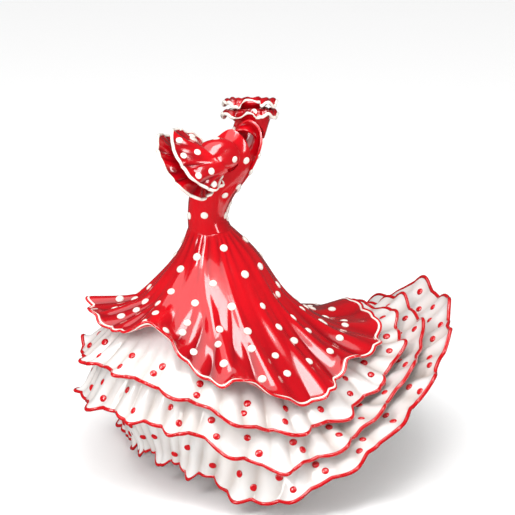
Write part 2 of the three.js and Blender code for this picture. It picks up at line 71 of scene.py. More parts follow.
# %% Sections of the skirt and the flounces
WALL = 1.4
RUFFLE_WALL = 1.1
SEAM = 0.3
TUCK = 2.6
CLEAR = 5.2
TUCK_AT = 0.45
DIRECTIONS = [0, 30, 60, 95, 130, 160, 180, 205, 230, 250, 270, 290, 310, 335]
SECTIONS = {
    "hip": {
        "reach": [28, 29, 27, 24, 21, 19, 18, 20, 22, 24, 25, 26, 27, 28],
        "height": [-15, -18, -19, -18, -17, -16, -15, -15, -17, -18, -19, -19, -18, -16]},
    "thigh": {
        "reach": [46, 52, 48, 42, 39, 38, 38, 39, 40, 42, 44, 46, 46, 45],
        "height": [-43, -50, -49, -46, -44, -42, -38, -36, -36, -37, -40, -42, -43, -43]},
    "knee": {
        "reach": [72, 77, 70, 62, 55, 49, 47, 50, 54, 56, 60, 66, 69, 68],
        "height": [-63, -69, -67, -64, -58, -51, -45, -43, -44, -48, -56, -61, -64, -63]},
    "skirt_hem": {
        "reach": [100, 103, 95, 84, 75, 69, 70, 70, 66, 66, 76, 88, 93, 89],
        "height": [-73, -69, -78, -81, -70, -57, -48, -49, -51, -52, -67, -77, -83, -75]},
    "first_hem": {
        "reach": [115, 116, 106, 95, 84, 76, 76, 78, 78, 79, 85, 97, 100, 103],
        "height": [-76, -71, -92, -104, -98, -87, -77, -72, -70, -75, -82, -93, -96, -90]},
    "second_hem": {
        "reach": [129, 131, 117, 99, 84, 73, 73, 80, 83, 85, 90, 104, 113, 119],
        "height": [-72, -70, -102, -126, -124, -116, -106, -97, -93, -95, -99, -113, -108, -90]},
    "third_hem": {
        "reach": [145, 148, 130, 100, 76, 54, 43, 45, 50, 58, 72, 104, 122, 134],
        "height": [-65, -64, -113, -141, -141, -141, -138, -131, -128, -128, -129, -136, -118, -92]},
}

# %% The largest folds
# Each row: the direction a fold points at the hem, the direction it springs from, its half width in degrees,
# how far it stands out at the hem, and how far it hangs below the hem line.
SKIRT_FOLDS = [
    (10, 5, 11, 3, 1), (34, 30, 10, 4, 2), (62, 60, 12, 3, 2), (90, 90, 12, 4, 2), (118, 120, 12, 4, 2),
    (145, 150, 11, 4, 1), (179, 200, 10, 4, 1), (203, 212, 9, 3, 3), (240, 218, 16, 8, -1),
    (284, 250, 10, 5, -2), (299, 285, 7, 4, 1), (318, 308, 9, 4, 2), (337, 330, 9, 5, 1), (355, 350, 9, 4, 2)]
FIRST_FOLDS = [
    (18, 16, 9, 2, 3), (38, 38, 9, 2, 2), (60, 60, 11, 3, 3), (84, 84, 11, 3, 3), (108, 108, 11, 3, 3),
    (132, 132, 11, 3, 3), (156, 156, 11, 3, 2), (180, 180, 9, 3, -2), (208, 206, 9, 2, 3),
    (230, 228, 10, 2, 3), (256, 250, 9, 2, 3), (279, 272, 10, 2, 4), (300, 294, 10, 2, 4),
    (320, 314, 9, 2, 4), (339, 334, 8, 2, 3), (357, 355, 9, 2, 3)]
SECOND_FOLDS = [
    (5, 5, 9, 2, 3), (26, 26, 10, 2, 3), (50, 50, 11, 3, 3), (74, 74, 11, 3, 3), (98, 98, 11, 3, 3),
    (122, 122, 11, 3, 3), (146, 146, 11, 3, 3), (170, 170, 10, 3, 2), (193, 192, 10, 4, 0),
    (216, 214, 9, 2, 3), (238, 234, 9, 2, 3), (257, 252, 8, 2, 3), (276, 270, 9, 2, 4),
    (294, 288, 8, 2, 4), (311, 305, 8, 2, 4), (327, 322, 8, 2, 4), (345, 341, 9, 2, 4)]
THIRD_FOLDS = [
    (10, 10, 8, 2, 4), (27, 27, 8, 2, 4), (44, 44, 8, 2, 3), (66, 66, 10, 3, 2), (90, 90, 11, 3, 0),
    (116, 116, 11, 3, 0), (144, 144, 12, 3, 0), (182, 182, 12, 3, 1), (214, 214, 11, 2, 2),
    (240, 238, 9, 2, 3), (262, 258, 8, 2, 3), (281, 277, 7, 2, 2), (297, 293, 7, 2, 2),
    (312, 308, 7, 2, 4), (327, 323, 8, 2, 4), (341, 338, 7, 2, 4), (355, 353, 7, 2, 4)]

# %% The bodice and the sleeves
# The torso rows: height, middle x and y, depth, width, and turn in degrees. The top edge rows: the angle from
# the middle of the back, and the height. The sleeve rings: x, y, z, the way the ring faces, its radius, and
# its smaller radius on the side that lies against the body.
TORSO = [
    (0, 0.5, 0, 12.3, 14, 0), (8, -1, 0, 11, 13, -5), (20, 1.5, 0, 12.5, 14, -12),
    (34, 8, 0, 15.6, 16.5, -20), (48, 14, 1, 16, 18, -25), (57, 17.5, 2, 13, 16.5, -25),
    (64, 19, 2, 8.5, 11.5, -25)]
TOP_EDGE = [
    (0, 12), (6, 27), (12, 38), (24, 49), (40, 57), (64, 62), (90, 63.4), (112, 61.5), (135, 55),
    (158, 49.5), (180, 48)]
SLEEVES = {
    "left": {
        "top": (0, 0, 1),
        "tube": [
            (13.5, -6, 49, (-0.45, -0.87, -0.2), 9.2, 9.2), (8.5, -14, 50, (-0.62, -0.74, -0.25), 9.4, 9.4),
            (1.5, -19, 48.5, (-0.87, -0.3, -0.42), 9.2, 9.2), (-5.5, -20.5, 44.5, (-0.84, -0.05, -0.54), 8.2, 8.2)],
        "upper": [
            (-2.5, -20.8, 49, (-0.78, 0.1, -0.62), 15, 13.5), (-6.5, -20.5, 48.5, (-0.72, 0.27, -0.64), 20, 15.5)],
        "lower": [
            (-11.2, -20.2, 44, (-0.76, 0.15, -0.63), 15.5, 11.5), (-14.2, -19.5, 43.7, (-0.72, 0.27, -0.64), 21.5, 14)],
    },
    "right": {
        "top": (-1, 0, 0),
        "tube": [
            (18, 9, 47, (0.2, 0.93, 0.3), 8.4, 8.4), (22, 18, 51, (0.2, 0.86, 0.48), 8.4, 8.4),
            (24.5, 25.5, 58, (0.1, 0.5, 0.87), 8.2, 8.2), (24.5, 28, 66, (-0.05, 0.2, 0.98), 8, 8)],
        "upper": [(24.5, 27.6, 65.5, (0, 0.22, 0.97), 13.6, 13.6), (24.5, 27.4, 64, (0, 0.22, 0.97), 16.5, 16.5)],
        "lower": [(24.5, 29, 72, (0, 0.2, 0.98), 13, 13), (24.5, 28.6, 71, (0, 0.2, 0.98), 15.6, 15.6)],
    },
}
RUFFLE_FOLDS = [
    (15, 15, 24, 2, 1.2), (65, 65, 22, 1.6, 0.6), (110, 110, 20, 2.2, 1.4), (158, 158, 24, 1.5, 0.8),
    (205, 205, 21, 2.1, 1.2), (250, 250, 20, 1.7, 0.5), (300, 300, 26, 2.2, 1.3)]

# %% [markdown]
# ## Smooth curves through a few sizes
# A modeller's spline joins the sections. The slope at each knot comes from its two neighbours, so the curve
# passes through every size with no corner. The same curve is used round the waist and down to the hem.

# %% Curves
def between(k0, k1, k2, k3, a, b, c, d, t):
    h = k2 - k1
    s = (t - k1) / h
    slope1 = (c - a) * (h / (k2 - k0))
    slope2 = (d - b) * (h / (k3 - k1))
    s2, s3 = s * s, s * s * s
    return b * (2 * s3 - 3 * s2 + 1) + slope1 * (s3 - 2 * s2 + s) + c * (3 * s2 - 2 * s3) + slope2 * (s3 - s2)


def all_round(row, degrees):
    n = len(DIRECTIONS)
    angle = degrees % 360
    i = bisect_right(DIRECTIONS, angle) - 1
    knots = [DIRECTIONS[k % n] + 360 * (k // n) for k in range(i - 1, i + 3)]
    return between(*knots, *(row[k % n] for k in range(i - 1, i + 3)), angle)


def along(knots, values, t):
    """The value at t, which may be a number or a Vector; past the ends the curve goes on as it came."""
    last = len(knots) - 1
    i = min(last - 1, max(0, bisect_right(knots, t) - 1))

    def at(items, j):
        if j < 0:
            return items[0] * 2 - items[1]
        return items[last] * 2 - items[last - 1] if j > last else items[j]

    span = range(i - 1, i + 3)
    return between(*(at(knots, j) for j in span), *(at(values, j) for j in span), t)


def surface_through(knots, points_at):
    """A surface (u, v) through the points that points_at(u) gives, which are worked out once for each u."""
    known = {}

    def surface(u, v):
        key = round(u * 1e4)
        if key not in known:
            known[key] = points_at(u)
        return along(knots, known[key], v)

    return surface


def facing(surface, u, v):
    across = surface(u + 0.5, v) - surface(u - 0.5, v)
    down = (surface(u, min(1, v + 0.02)) - surface(u, max(0, v - 0.02))).normalized()
    return down.cross(across).normalized(), down


# %% Folds
def turned_off(u, middle):
    return (u - middle + 180) % 360 - 180


def fold_shift(folds, start, u, v):
    """How far the folds push a point out and down."""
    grown = (max(0, v - start) / (1 - start)) ** 1.6
    out = drop = 0
    for at, spring, wide, reach, hang in folds:
        side = abs(turned_off(u, spring + (at - spring) * v ** 0.6)) / (wide * (0.6 + 0.4 * v))
        if side < 1:
            crest = (0.5 + 0.5 * math.cos(math.pi * side)) * grown
            out += reach * crest
            drop += hang * crest
    return out, drop


# %% [markdown]
# ## Fine pleats
# Between the big folds the real dress has narrow pleats, no two the same width. A cosine round the skirt gives
# even pleats; two slow sine waves added to its angle make them crowd and spread. Raising it to a power makes
# the crests round and the valleys narrow, as in gathered cloth. The depth of each is kept in a point
# attribute, so that the glaze can be darker in the valleys: painted shade, with some of the painter's colour pooling
# there.

# %% Pleats
RISE = 1.2


def pleat(u, count, seed, lean, v):
    """A pleat's height from 0 in the valley to 1 on the crest, and a slow factor that varies it."""
    a = math.radians(u + lean * (1 - v))
    warp = 1.1 * math.sin(3 * a + seed) + 0.8 * math.sin(7 * a + 2.3 * seed) + 0.5 * math.sin(11 * a + 4.1 * seed)
    crest = (0.5 + 0.5 * math.cos(count * a + warp)) ** 0.7
    strength = 0.72 + 0.28 * math.sin(5 * a + 1.7 * seed)
    return crest, strength


def dressed(surface, folds, start, count=0, depth=0.0, seed=0.0, lean=0.0, fine_start=0.15, curls=(), lip=0.9,
            flick=0.0, waist=0.0, hang=1.0, wave=0.0):
    """A surface with its folds, its pleats and its curled hem; it gives a point and how deep in a valley it is."""
    strongest = max([reach for *_, reach, _ in folds] or [1])

    def base(u, v):
        out, down = facing(surface, u, v)
        reach, drop = fold_shift(folds, start, u, v)
        # valley drives painted shade, with some pooled glaze: the colour darkens between the big folds, in the pleat
        # valleys and in the waist gathers.
        big = 1 - min(1, reach / (0.6 * strongest)) if v > start else 0.3
        fine = 0
        valley = 0.35 * big
        if count:
            crest, strength = pleat(u, count, seed, lean, v)
            grown = min(1, max(0, (v - fine_start) / (0.75 - fine_start))) ** 0.8
            fine = depth * strength * (crest - 0.6) * grown
            valley = 0.35 * big * grown + 0.65 * (1 - crest) ** 1.5 * strength * grown
            drop += wave / hang * (crest - 0.5) * strength * grown * max(0, v - 0.5) * 2
        if waist:
            crest, strength = pleat(u, 26, seed + 1, 0, v)
            fade = max(0, 1 - v / 0.42) * min(1, v / 0.05)
            fine += waist * strength * (crest - 0.5) * fade
            valley = max(valley, 0.8 * (1 - crest) * fade)
        return surface(u, v) + out * (reach + fine) + down * (drop * hang - (hang - 1) * RISE * min(1, reach + drop)), out, down, valley

    def curl_at(u):
        return flick + sum(angle * (0.5 + 0.5 * math.cos(math.pi * min(1, abs(turned_off(u, at)) / wide)))
                           for at, wide, angle in curls)

    def shape(u, v):
        point, out, down, valley = base(u, v)
        bend = curl_at(u)
        if v > lip and bend > 0.01:
            t = (v - lip) / (1 - lip)
            length = (surface(u, 1) - surface(u, lip)).length
            point = point + down * (length * (math.sin(bend * t) / bend - t))
            point = point + out * (length * (1 - math.cos(bend * t)) / bend)
        return point, valley

    return shape


# %% The surfaces
def torso_size(z):
    return [along([row[0] for row in TORSO], [row[k] for row in TORSO], z) for k in range(1, 6)]


def torso_point(u, z):
    x, y, depth, width, turn = torso_size(z)
    a, t = math.radians(u), math.radians(turn)
    px, py = depth * math.cos(a), width * math.sin(a)
    return Vector((px * math.cos(t) - py * math.sin(t) + x, px * math.sin(t) + py * math.cos(t) + y, z))


def top_edge(u):
    return along([row[0] for row in TOP_EDGE], [row[1] for row in TOP_EDGE], abs((u + 180) % 360 - 180))


def bodice(u, v):
    return torso_point(u, SEAM + (top_edge(u) - SEAM) * (1 - v))


def section_point(name, u):
    reach, height = (all_round(SECTIONS[name][key], u) for key in ("reach", "height"))
    return Vector((reach * math.cos(math.radians(u)), reach * math.sin(math.radians(u)), height))


def skirt_points(u):
    waist = torso_point(u, 0)
    waist.z = SEAM
    return [waist] + [section_point(name, u) for name in ("hip", "thigh", "knee", "skirt_hem")]


def flounce(above, sewn_at, hem_name):
    def points(u):
        hem = section_point(hem_name, u)
        top = above(u, sewn_at) - facing(above, u, sewn_at)[0] * TUCK
        tuck_at = sewn_at + TUCK_AT * (1 - sewn_at)
        tuck = above(u, tuck_at) - facing(above, u, tuck_at)[0] * (CLEAR - 2 * SEAM)
        edge = facing(above, u, 1)[0]
        middle = tuck.lerp(hem, 0.5)
        gap = (middle - above(u, 1)).dot(edge)
        if gap > -CLEAR:
            middle = middle - edge * (CLEAR + gap)
        return [top, tuck, middle, hem]

    return surface_through([0, 0.3, 0.62, 1], points)


skirt = surface_through([0, 0.22, 0.48, 0.76, 1], skirt_points)
first_flounce = flounce(skirt, 0.72, "first_hem")
second_flounce = flounce(first_flounce, 0.5, "second_hem")
third_flounce = flounce(second_flounce, 0.5, "third_hem")


def ring_point(ring, top, u):
    x, y, z, faces, radius, far = ring
    axis = Vector(faces).normalized()
    first = Vector(top)
    first = (first - axis * axis.dot(first)).normalized()
    second = first.cross(axis)
    a = math.radians(u)
    side = far if math.sin(a) < 0 else radius
    return Vector((x, y, z)) + first * (radius * math.cos(a)) + second * (side * math.sin(a))


def clear_of_body(point, margin):
    """Pushes a point out of the body, where a ruffle would press into it."""
    x, y, depth, width, turn = torso_size(point.z)
    back = Matrix.Rotation(math.radians(-turn), 3, "Z")
    middle = Vector((x, y, point.z))
    off = back @ (point - middle)
    share = math.hypot(off.x / (depth + margin), off.y / (width + margin))
    return point if share >= 1 else back.transposed() @ (off / max(share, 0.05)) + middle


# %% [markdown]
# ## Making a piece of cloth
# Each piece starts as a flat grid, whose two directions are the way round and the way down. Its points are then
# moved to the surface and its two side edges are joined. A UV map keeps the flat cloth's own directions. A
# Solidify modifier gives the wall its thickness and a Bevel rounds its cut edges, because a hard edge would
# look like paper. The cut of each piece is stated from the plain solid that it stands for, never from the mesh
# made here, so that the sheet's own test would find cloth that has been stretched. Its area is half
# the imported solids' surface, and its lengths run along the surface before any pleats are added.

# %% Cloth helper
def unpleated(surface, folds, start):
    """The surface with its broad folds only, as the plain solid has it."""
    shape = dressed(surface, folds, start)
    return lambda u, v: shape(u, v)[0]


def cut_of(plain, nodes, wall):
    """The greatest length round, the greatest fall and the flat area of a piece, in millimetres. The area is half
    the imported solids' surface, less half their cut edges, so it assumes nothing of the pleats added here."""
    def length(points):
        return sum((b - a).length for a, b in zip(points, points[1:]))

    turns = range(0, 361, 5)
    rows = [k / 8 for k in range(9)]
    rounds = [length([plain(u % 360, v) for u in turns]) for v in rows]
    falls = [length([plain(u, v) for v in rows]) for u in turns[:-1]]
    seams = 2 * len(nodes) * sum(falls) / len(falls) if len(nodes) > 1 else 0
    surface = sum(face.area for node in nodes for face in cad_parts[node].data.polygons) / MM ** 2
    return max(rounds), max(falls), (surface - wall * (rounds[0] + rounds[-1] + seams)) / 2


def cloth(name, shape, plain, columns, rows, thickness, finish, replaced, open_at=None, whole=360):
    bm = bmesh.new()
    bmesh.ops.create_grid(bm, x_segments=columns, y_segments=rows, size=1)
    uv = bm.loops.layers.uv.new("Cloth")
    # The valley layer holds each point's painted shade, with some pooled glaze, which the glaze reads.
    valley = bm.verts.layers.float.new("valley")
    for face in bm.faces:
        for loop in face.loops:
            x, y, _ = loop.vert.co
            loop[uv].uv = ((x + 1) / 2, (1 - y) / 2)
    for vert in bm.verts:
        u, v = (vert.co.x + 1) / 2 * whole, (1 - vert.co.y) / 2
        point, vert[valley] = shape(u if u < 359.999 else 0, v)
        vert.co = point * MM
    bmesh.ops.remove_doubles(bm, verts=bm.verts, dist=0.00001)
    if open_at:
        centre, radius = open_at
        gone = [f for f in bm.faces if any((f.calc_center_median() - c * MM).length < radius * MM for c in centre)]
        bmesh.ops.delete(bm, geom=gone, context="FACES")
    bmesh.ops.recalc_face_normals(bm, faces=bm.faces)
    area = sum(face.calc_area() for face in bm.faces)
    mesh = bpy.data.meshes.new(name)
    bm.to_mesh(mesh)
    bm.free()
    piece = bpy.data.objects.new(name, mesh)
    bpy.context.collection.objects.link(piece)
    mesh.shade_smooth()
    mesh.materials.append(finish)
    wall = piece.modifiers.new("Wall", "SOLIDIFY")
    wall.thickness = thickness * MM
    wall.offset = 0
    edge = piece.modifiers.new("Rounded edge", "BEVEL")
    edge.width = 0.3 * thickness * MM
    edge.segments = 2
    edge.limit_method = "ANGLE"
    edge.angle_limit = math.radians(60)
    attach(piece, "root")
    if replaced:
        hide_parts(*replaced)
    length_round, fall, cut = cut_of(plain, replaced, thickness)
    print(f"CUT {name}: {length_round:.0f} by {fall:.0f} mm, area {cut:.0f} mm2, shown {area / MM / MM:.0f} mm2")
    return piece


# %% [markdown]
# ## Rolled edges
# Each hem ends in a rolled bead. A bead is a thin tube that follows the hem, and a bmesh grid wrapped round
# that line makes it in one piece: one way round the hem, the other way round the bead's own section.

# %% Bead helper
def bead(name, shape, radius, beyond, finish, replaced, columns=720, sides=10, lift=0.0):
    bm = bmesh.new()
    bmesh.ops.create_grid(bm, x_segments=columns, y_segments=sides, size=1)
    lines = {}
    for vert in bm.verts:
        u = (vert.co.x + 1) / 2 * 360
        key = round(u * 1000) % 360000
        if key not in lines:
            here, up = shape(key / 1000, 1)[0], shape(key / 1000, 0.985)[0]
            side = shape((key / 1000 + 0.25) % 360, 1)[0] - shape((key / 1000 - 0.25) % 360, 1)[0]
            down = (here - up).normalized()
            lines[key] = (here + down * beyond, down, down.cross(side).normalized())
        middle, down, out = lines[key]
        turn = (vert.co.y + 1) * math.pi
        vert.co = (middle + out * (radius * math.sin(turn) + lift) + down * (radius * math.cos(turn))) * MM
    bmesh.ops.remove_doubles(bm, verts=bm.verts, dist=0.000005)
    bmesh.ops.recalc_face_normals(bm, faces=bm.faces)
    mesh = bpy.data.meshes.new(name)
    bm.to_mesh(mesh)
    bm.free()
    piece = bpy.data.objects.new(name, mesh)
    bpy.context.collection.objects.link(piece)
    mesh.shade_smooth()
    mesh.materials.append(finish)
    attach(piece, "root")
    if replaced:
        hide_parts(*replaced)
    print(f"{name}: {len(mesh.polygons)} faces")
    return piece


# %% [markdown]
# ## Raised dots
# The dots are drops of thick glaze, so each is a low dome. A sphere is flattened along the surface's own
# direction and sunk half way in. They stand in staggered rows, a little uneven, as a hand would set them, and
# a seeded random number moves each one, so that the same dress is made every time.

# %% Dot helper
def dots(name, shape, rows, spacing, radius, thickness, finish, seed, whole=(0, 360), keep=None):
    draw = random.Random(seed)
    bm = bmesh.new()
    count = 0
    for k, v in enumerate(rows):
        first_step = (shape(whole[0], v)[0] - shape(whole[0] + 1, v)[0]).length
        u = whole[0] + (k % 2) * 0.5 * spacing / first_step
        while u < whole[1] - 1:
            step = (shape(u % 360, v)[0] - shape((u + 1) % 360, v)[0]).length
            at_u = (u + draw.uniform(-0.14, 0.14) * spacing / step) % 360
            at_v = min(0.95, v + draw.uniform(-0.03, 0.03))
            here = shape(at_u, at_v)[0]
            across = shape((at_u + 0.6) % 360, at_v)[0] - shape((at_u - 0.6) % 360, at_v)[0]
            down = shape(at_u, min(1, at_v + 0.015))[0] - shape(at_u, at_v - 0.015)[0]
            out = down.cross(across).normalized()
            u += spacing / max(step, 0.05)
            if keep and not keep(here):
                continue
            place = Matrix.Translation((here + out * (thickness / 2)) * MM) @ out.to_track_quat("Z", "Y").to_matrix().to_4x4()
            size = radius * draw.uniform(0.92, 1.06) * MM
            squash = Matrix.Diagonal((1, draw.uniform(0.92, 1.0), 0.42, 1))
            bmesh.ops.create_uvsphere(bm, u_segments=20, v_segments=12, radius=size, matrix=place @ squash)
            count += 1
    for face in bm.faces:
        face.smooth = True
    mesh = bpy.data.meshes.new(name)
    bm.to_mesh(mesh)
    bm.free()
    piece = bpy.data.objects.new(name, mesh)
    bpy.context.collection.objects.link(piece)
    mesh.materials.append(finish)
    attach(piece, "root")
    print(f"{name}: {count} dots")
    return piece


# %% [markdown]
# ## Glaze
# A hand-painted glaze is never one flat colour: it thins on the crests and has a faint ripple from the brush.
# The colour is darker in the valleys, as painted shade with some pooled glaze. One node group gives that darkening
# and a random mottle, another gives the ripple, and each glaze sets its own values. The shine itself is a clear coat
# over the paint.

# %% Shared effects
def new_group(name, inputs, outputs):
    group = bpy.data.node_groups.new(name, "ShaderNodeTree")
    for label, kind, value in inputs:
        group.interface.new_socket(label, in_out="INPUT", socket_type=kind).default_value = value
    for label, kind in outputs:
        group.interface.new_socket(label, in_out="OUTPUT", socket_type=kind)
    return group, group.nodes.new("NodeGroupInput"), group.nodes.new("NodeGroupOutput")


def glaze_pool_and_shade():
    group, given, made = new_group("Pooled glaze and painted shade", [
        ("Crest", "NodeSocketColor", (1, 1, 1, 1)), ("Valley", "NodeSocketColor", (0, 0, 0, 1)),
        ("Tint", "NodeSocketColor", (1, 1, 1, 1)), ("Depth", "NodeSocketFloat", 1.0),
        ("Tint amount", "NodeSocketFloat", 0.2), ("Scale", "NodeSocketFloat", 60.0)],
        [("Color", "NodeSocketColor"), ("Roughness shift", "NodeSocketFloat")])
    nodes, links = group.nodes, group.links
    place = nodes.new("ShaderNodeTexCoord")
    valley = nodes.new("ShaderNodeAttribute")
    valley.attribute_name = "valley"
    cloud = nodes.new("ShaderNodeTexNoise")
    cloud.inputs["Detail"].default_value = 3
    links.new(place.outputs["Object"], cloud.inputs["Vector"])
    links.new(given.outputs["Scale"], cloud.inputs["Scale"])
    deep = nodes.new("ShaderNodeMath")
    deep.operation = "MULTIPLY"
    deep.use_clamp = True
    links.new(valley.outputs["Fac"], deep.inputs[0])
    links.new(given.outputs["Depth"], deep.inputs[1])
    # Painted shade, with some pooled glaze: the colour goes from the crest colour to the darker valley colour as the
    # valley value rises.
    pool_and_shade = nodes.new("ShaderNodeMix")
    pool_and_shade.data_type = "RGBA"
    links.new(deep.outputs[0], pool_and_shade.inputs["Factor"])
    links.new(given.outputs["Crest"], pool_and_shade.inputs["A"])
    links.new(given.outputs["Valley"], pool_and_shade.inputs["B"])
    patch = nodes.new("ShaderNodeMapRange")
    patch.inputs["From Min"].default_value = 0.42
    patch.inputs["From Max"].default_value = 0.7
    links.new(cloud.outputs["Fac"], patch.inputs["Value"])
    links.new(given.outputs["Tint amount"], patch.inputs["To Max"])
    tinted = nodes.new("ShaderNodeMix")
    tinted.data_type = "RGBA"
    tinted.blend_type = "MULTIPLY"
    links.new(patch.outputs["Result"], tinted.inputs["Factor"])
    links.new(pool_and_shade.outputs["Result"], tinted.inputs["A"])
    links.new(given.outputs["Tint"], tinted.inputs["B"])
    links.new(tinted.outputs["Result"], made.inputs["Color"])
    rough = nodes.new("ShaderNodeMath")
    rough.operation = "MULTIPLY"
    rough.inputs[1].default_value = 0.12
    links.new(cloud.outputs["Fac"], rough.inputs[0])
    links.new(rough.outputs[0], made.inputs["Roughness shift"])
    return group


def brush_ripple():
    group, given, made = new_group("Brush ripple", [
        ("Strength", "NodeSocketFloat", 0.1), ("Scale", "NodeSocketFloat", 300.0)],
        [("Normal", "NodeSocketVector")])
    nodes, links = group.nodes, group.links
    place = nodes.new("ShaderNodeTexCoord")
    ripple = nodes.new("ShaderNodeTexNoise")
    ripple.inputs["Detail"].default_value = 2
    links.new(place.outputs["Object"], ripple.inputs["Vector"])
    links.new(given.outputs["Scale"], ripple.inputs["Scale"])
    bump = nodes.new("ShaderNodeBump")
    bump.inputs["Distance"].default_value = 0.0004
    links.new(ripple.outputs["Fac"], bump.inputs["Height"])
    links.new(given.outputs["Strength"], bump.inputs["Strength"])
    links.new(bump.outputs["Normal"], made.inputs["Normal"])
    return group


POOL_AND_SHADE_GROUP, RIPPLE = glaze_pool_and_shade(), brush_ripple()


# %% Glazes
def glaze(name, crest, valley, tint, depth, tint_amount, roughness, coat, ripple, scale=60):
    material = bpy.data.materials.new(name)
    material.use_nodes = True
    nodes, links = material.node_tree.nodes, material.node_tree.links
    paint = nodes["Principled BSDF"]
    paint.inputs["Coat Weight"].default_value = coat
    paint.inputs["Coat Roughness"].default_value = 0.04
    paint.inputs["IOR"].default_value = 1.5
    colour = nodes.new("ShaderNodeGroup")
    colour.node_tree = POOL_AND_SHADE_GROUP
    for label, value in (("Crest", crest), ("Valley", valley), ("Tint", tint), ("Depth", depth),
                         ("Tint amount", tint_amount), ("Scale", scale)):
        colour.inputs[label].default_value = (*value, 1) if isinstance(value, tuple) else value
    rough = nodes.new("ShaderNodeMath")
    rough.inputs[1].default_value = roughness
    links.new(colour.outputs["Roughness shift"], rough.inputs[0])
    links.new(rough.outputs[0], paint.inputs["Roughness"])
    links.new(colour.outputs["Color"], paint.inputs["Base Color"])
    waves = nodes.new("ShaderNodeGroup")
    waves.node_tree = RIPPLE
    waves.inputs["Strength"].default_value = ripple
    links.new(waves.outputs["Normal"], paint.inputs["Normal"])
    return material


# Each glaze's second colour is its painted shade in the deepest valleys, with some pooled glaze; the first is the glaze
# on the crests.
RED = glaze("red glaze", (0.62, 0.002, 0.008), (0.2, 0.0, 0.004), (0.75, 0.6, 0.7), 0.9, 0.5, 0.1, 1.0, 0.12)
PIPING_RED = glaze("red piping glaze", (0.55, 0.002, 0.006), (0.2, 0.0, 0.003), (0.7, 0.5, 0.6), 0.6, 0.4, 0.12, 1.0, 0.1)
DOT_RED = glaze("red dot glaze", (0.58, 0.003, 0.008), (0.3, 0.0, 0.004), (0.8, 0.6, 0.7), 0.5, 0.4, 0.1, 1.0, 0.06)
WHITE = glaze("white glaze", (0.8, 0.795, 0.785), (0.5, 0.44, 0.4), (0.96, 0.89, 0.85), 1.0, 0.5, 0.26, 0.55, 0.1)
IVORY = glaze("ivory glaze", (0.88, 0.84, 0.77), (0.6, 0.52, 0.44), (0.95, 0.88, 0.8), 0.6, 0.4, 0.2, 0.8, 0.05)

# %% [markdown]
# ## Skirt
# The red skirt is drawn up at the wearer's left hip, so its folds fan out from there, and its hem curls up
# like a wave where a fold swings out. Under the hem runs an ivory bead.

# %% Skirt and its hem
PANELS = ("front", "left", "back", "right")
SKIRT_CURLS = [(238, 26, 1.5), (288, 16, 1.3), (200, 14, 0.9), (335, 14, 0.8), (20, 16, 0.8), (75, 18, 0.8),
               (130, 20, 0.9)]
skirt_shape = dressed(skirt, SKIRT_FOLDS, 0.1, count=38, depth=1.2, seed=2.0, lean=-14, fine_start=0.4,
                      curls=SKIRT_CURLS, lip=0.92, waist=0.4, wave=3.2)
skirt_piece = cloth("skirt_cloth", skirt_shape, unpleated(skirt, SKIRT_FOLDS, 0.1), 480, 72, WALL, RED,
                    [f"skirt_{panel}" for panel in PANELS])
bead("skirt_hem_bead", skirt_shape, 0.85, 0.5, IVORY, ["skirt_hem_binding"])
bead("skirt_hem_lip", skirt_shape, 0.8, 1.7, RED, [])

# %% [markdown]
# ## Flounces
# Three white flounces are gathered behind the layer above. Their pleats are narrower and crisper than the
# skirt's, and their hems wave. A rolled red bead finishes each hem.

# %% Flounces
FLOUNCES = [
    ("flounce_1", first_flounce, FIRST_FOLDS, 44, 2.6, 1.0),
    ("flounce_2", second_flounce, SECOND_FOLDS, 48, 2.7, 3.1),
    ("flounce_3", third_flounce, THIRD_FOLDS, 52, 2.7, 5.2),
]
flounce_shapes = {}
for name, surface, folds, count, depth, seed in FLOUNCES:
    curls = [(at, wide, 0.7) for at, _, wide, _, _ in folds]
    shape = dressed(surface, folds, 0.35, count=count, depth=depth, seed=seed, lean=-5, fine_start=0.3,
                    curls=curls, lip=0.86, flick=0.15, hang=2.0, wave=1.8)
    flounce_shapes[name] = shape
    cloth(f"{name}_cloth", shape, unpleated(surface, folds, 0.35), 640, 48, WALL, WHITE,
          [f"{name}_{panel}" for panel in PANELS])
    bead(f"{name}_bead", shape, 1.2, 0.5, PIPING_RED, [f"{name}_piping"])

# %% [markdown]
# ## Bodice
# The bodice is smooth and fitted, low at the back, with an armhole on each side. It is one curved wall, whose
# upper edge rises from the back to the shoulders.

# %% Bodice
def bodice_shape(u, v):
    # The second value is painted shade: it darkens the red in two broad bands round the bodice, towards its front and
    # its back.
    return bodice(u, v), 0.25 * (0.5 + 0.5 * math.cos(math.radians(2 * u + 40))) ** 3


armholes = [Vector(SLEEVES[side]["tube"][0][:3]) + Vector(SLEEVES[side]["tube"][0][3]) * 8 for side in SLEEVES]
bodice_piece = cloth("bodice_cloth", bodice_shape, bodice, 240, 60, WALL, RED,
                     ["bodice_front", "bodice_back_left", "bodice_back_right"],
                     open_at=(armholes, 8.6))

# %% [markdown]
# ## Sleeves
# Each sleeve is a short tube with two ruffles, and each ruffle has a white rolled edge. The ruffles are cups
# that open towards the hand, with deep folds between their crests.

